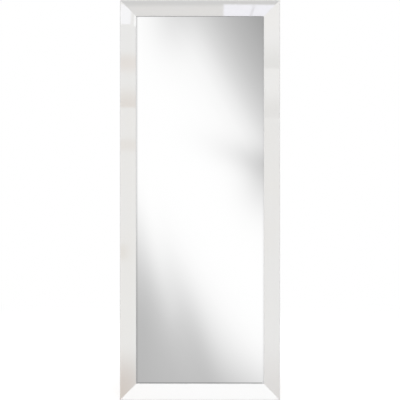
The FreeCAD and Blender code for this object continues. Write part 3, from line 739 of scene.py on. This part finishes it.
PANELS = (
    # above, picked up by the bottom rail
    panel(ALONG_RAIL, (1.10, 1.42), (2.65, 2.65, 2.68), side=0.04, foot=0.04, head=0.04),
    # below, picked up by the top rail: dim, then brighter, and on the right bright with a thin shade
    panel(ALONG_RAIL, (-1.42, -1.10), (0.35, 0.35, 0.34), side=0.04, foot=0.04, head=0.04),
    panel(ALONG_RAIL, (-1.42, -1.2265), (1.60, 1.53, 1.45), side=0.04, foot=0.04, head=0.02),
    panel((0.084, 0.40), (-1.42, -1.2305), (3.3, 3.3, 3.85), side=0.007, foot=0.04, head=0.004),
    panel(
        (0.195, 0.208), (-1.42, -1.2305), (1.9, 1.9, 2.3), side=0.004, foot=0.04, head=0.004, slant=0.28
    ),
    # to the right, picked up by the left stile: pale, with a bright head in two strips, warm bands
    # below it and a dim warm foot
    panel(TO_RIGHT, ALONG_STILE, (1.68, 1.64, 1.54)),
    panel((1.50, 1.667), (0.651, 0.7275), (3.0, 3.0, 3.2), side=0.002, foot=0.004, head=0.006),
    panel((1.6765, 1.85), (0.6425, 0.7275), (3.6, 3.6, 3.6), side=0.002, foot=0.006, head=0.006),
    panel(TO_RIGHT, (0.460, 0.562), (1.2, 0.82, 0.48), foot=0.045, head=0.045),
    panel(TO_RIGHT, (0.340, 0.440), (0.90, 0.55, 0.22), foot=0.012, head=0.080),
    panel(TO_RIGHT, (0.170, 0.242), (1.25, 1.02, 0.78), foot=0.030, head=0.030),
    panel((1.50, 1.69), (-0.240, -0.150), (1.15, 0.95, 0.65), side=0.04, foot=0.035, head=0.035),
    panel(TO_RIGHT, (-0.95, -0.530), (0.34, 0.15, 0.08), head=0.150),
    # to the left, picked up by the right stile: two slow shades under a brighter head, a dimmer foot
    panel(TO_LEFT, ALONG_STILE, (1.54, 1.49, 1.40)),
    panel(TO_LEFT, (0.290, 0.95), (1.96, 1.91, 1.82), foot=0.02),
    panel(TO_LEFT, (0.560, 0.95), (2.09, 2.02, 1.92), foot=0.10),
    panel(TO_LEFT, (0.485, 0.610), (1.12, 1.08, 0.98), foot=0.010, head=0.110),
    panel(TO_LEFT, (0.298, 0.425), (1.15, 1.09, 1.0), foot=0.014, head=0.095),
    panel(TO_LEFT, (-0.95, -0.500), (0.60, 0.42, 0.30), head=0.240),
)

# How far ahead a direction has to point for the panels to show, and the soft light by height
AHEAD = (-0.5, -0.6)
AMBIENT = ((-1.0, 0.05), (0.0, 0.66), (0.35, 1.1), (1.0, 0.2))


def make_mirrored_studio(tree, x, y, z):
    """What only reflections see in a direction: soft bands, soft shades and panels of light."""
    across = calc(tree, "MULTIPLY", x, REACH)
    up = calc(tree, "MULTIPLY", z, REACH)
    seen = STUDIO_LIGHT
    for side, rise, stops in BANDS:
        run = calc(tree, "ADD", calc(tree, "MULTIPLY", across, side), calc(tree, "MULTIPLY", up, rise))
        wrapped = calc(tree, "WRAP", run, stops[-1][0], stops[0][0])
        seen = blend(tree, 1.0, seen, ramp(tree, wrapped, stops), "MULTIPLY")
    soft_shade = make_soft_shade()
    for values in SHADES:
        seen = placed(tree, soft_shade, Behind=seen, Across=across, Up=up, **values)["Color"]
    light_panel = make_light_panel()
    ahead = fade(tree, y, *AHEAD)
    for values in PANELS:
        laid = placed(tree, light_panel, Behind=seen, Across=across, Up=up, Share=ahead, **values)
        seen = laid["Color"]
    return seen


def make_world():
    """Soft light from a belt above the horizon; white behind the object."""
    world = bpy.data.worlds.new("studio")
    bpy.context.scene.world = world
    world.use_nodes = True
    tree = world.node_tree
    tree.nodes.clear()
    x, y, z = parts_of(tree, add(tree, "ShaderNodeTexCoord").outputs["Generated"])
    ambient = ramp(tree, z, AMBIENT)
    ray = add(tree, "ShaderNodeLightPath").outputs
    seen = blend(tree, ray["Is Glossy Ray"], ambient, make_mirrored_studio(tree, x, y, z))
    backdrop = calc(tree, "MAXIMUM", ray["Is Camera Ray"], ray["Is Transmission Ray"])
    colour = blend(tree, backdrop, seen, WHITE)
    sky = add(tree, "ShaderNodeBackground", {"Color": colour, "Strength": 1.0})
    output = tree.nodes.new("ShaderNodeOutputWorld")
    tree.links.new(sky.outputs["Background"], output.inputs["Surface"])


def link_lamp(name, data, place):
    """Puts a lamp in the scene, aimed at the middle of the mirror."""
    lamp = bpy.data.objects.new(name, data)
    lamp.location = place
    aim = Vector((0, 0, MIDDLE)) - Vector(place)
    lamp.rotation_euler = aim.to_track_quat("-Z", "Y").to_euler()
    bpy.context.scene.collection.objects.link(lamp)
    return lamp


def make_lamps():
    """A broad soft light from above the camera and a soft box behind, both left out of reflections."""
    broad = bpy.data.lights.new("broad_light", "SUN")
    broad.energy = BROAD_POWER
    broad.angle = math.radians(BROAD_SPREAD)
    link_lamp("broad_light", broad, BROAD_PLACE).visible_glossy = False
    box = bpy.data.lights.new("back_soft_box", "AREA")
    box.shape = "SQUARE"
    box.size = BOX_SIZE
    box.energy = BOX_POWER
    link_lamp("back_soft_box", box, BOX_PLACE).visible_glossy = False


def make_floor():
    """A pale floor under the frame's lower edge that keeps its shadow and runs out to white."""
    mesh = bmesh.new()
    corners = [mesh.verts.new((FLOOR_HALF * a, FLOOR_HALF * b, FLOOR)) for a, b in SQUARE]
    mesh.faces.new(corners)
    data = bpy.data.meshes.new("floor")
    mesh.to_mesh(data)
    mesh.free()
    finish, tree, shader = new_finish("pale_floor")
    x, y, _ = parts_of(tree, object_place(tree))
    squares = calc(tree, "ADD", calc(tree, "MULTIPLY", x, x), calc(tree, "MULTIPLY", y, y))
    lit = fade(tree, calc(tree, "SQRT", squares), *FLOOR_FADE)
    feed(tree, shader["Base Color"], blend(tree, lit, FLOOR_TONE, BLACK))
    feed(tree, shader["Emission Color"], blend(tree, lit, FLOOR_GLOW, WHITE))
    shader["Emission Strength"].default_value = 1.0
    shader["Roughness"].default_value = FLOOR_ROUGH
    shader["Specular IOR Level"].default_value = 0.0
    data.materials.append(finish)
    floor = bpy.data.objects.new("floor", data)
    floor.visible_diffuse = False
    floor.visible_glossy = False
    bpy.context.scene.collection.objects.link(floor)


def make_camera():
    """Square on to the frame, level with its middle."""
    data = bpy.data.cameras.new("front_camera")
    data.lens = LENS
    data.sensor_width = SENSOR
    camera = bpy.data.objects.new("front_camera", data)
    camera.location = (0.0, FRONT - REACH + NEARER, MIDDLE)
    camera.rotation_euler = (math.radians(90), 0.0, 0.0)
    bpy.context.scene.collection.objects.link(camera)
    bpy.context.scene.camera = camera


foil = gloss_foil()
dress(MEMBERS, foil)
dress(["mirror_pane"], silvered_glass())
dress(["backing_board"], raw_hardboard())
zinc = plated_metal(
    "zinc_plate", tones=(ZINC_DARK, ZINC_LIGHT, ZINC_RUBBED_HIGHLIT), gloss=(0.28, 0.44),
    stretch=(1, 1, 0.25), scale=800.0, edge=0.3 * MM, depth=0.012 * MM,
)
nickel = plated_metal(
    "nickel_wire", tones=(NICKEL_DARK, NICKEL_LIGHT, NICKEL_LIGHT), gloss=(0.12, 0.22),
    stretch=(1, 1, 1), scale=500.0, edge=0.2 * MM, depth=0.004 * MM,
)
blued = plated_metal(
    "blued_strip", tones=(BLUED_DARK, BLUED_LIGHT, BLUED_RUBBED_HIGHLIT), gloss=(0.32, 0.5),
    stretch=(1, 1, 1), scale=700.0, edge=0.2 * MM, depth=0.01 * MM,
)
dress([f"hanger_strap_{side}" for side in SIDES], zinc)
dress([f"hanger_screws_{side}" for side in SIDES], zinc)
dress([f"hanger_ring_{side}" for side in SIDES], nickel)
dress([f"framer_points_{side}" for side in SIDES], blued)
dress([f"v_nails_{corner}" for corner in CORNERS], blued)
dress([f"bumper_{corner}" for corner in CORNERS], matt_rubber())
make_laps(foil)

make_world()
make_lamps()
make_floor()
make_camera()
bpy.context.scene.view_settings.view_transform = "Standard"
